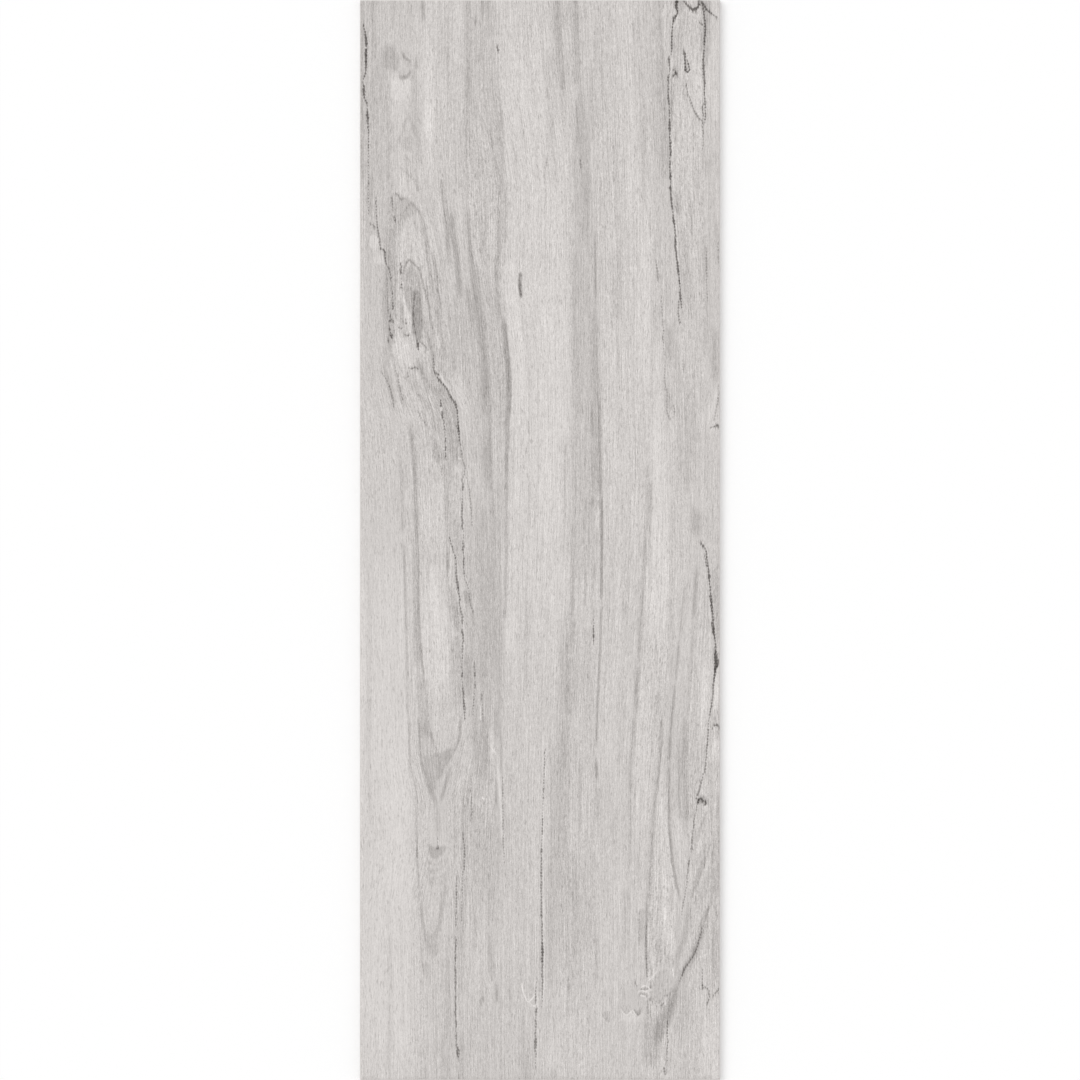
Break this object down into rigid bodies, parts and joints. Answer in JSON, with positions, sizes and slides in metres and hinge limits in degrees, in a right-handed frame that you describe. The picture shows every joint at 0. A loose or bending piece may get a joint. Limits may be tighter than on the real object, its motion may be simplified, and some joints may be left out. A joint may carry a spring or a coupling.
{
  "type": "wood look porcelain plank tile",
  "caption": "Flat rectangular porcelain floor plank with a pale grey wood grain face, finely bevelled ground edges and a keyed back for adhesive.",
  "frame": {"origin": "middle of the back face, on the plane of the back's rim and ribs, which rests on the bed", "axes": "+X across the plank, +Y along the plank's length, +Z out of the decorated face"},
  "size_m": [0.4, 1.2, 0.01],
  "materials": {
    "porcelain": "matte"
  },
  "bodies": {
    "root": {"plank_tile": "porcelain"}
  },
  "joints": []
}
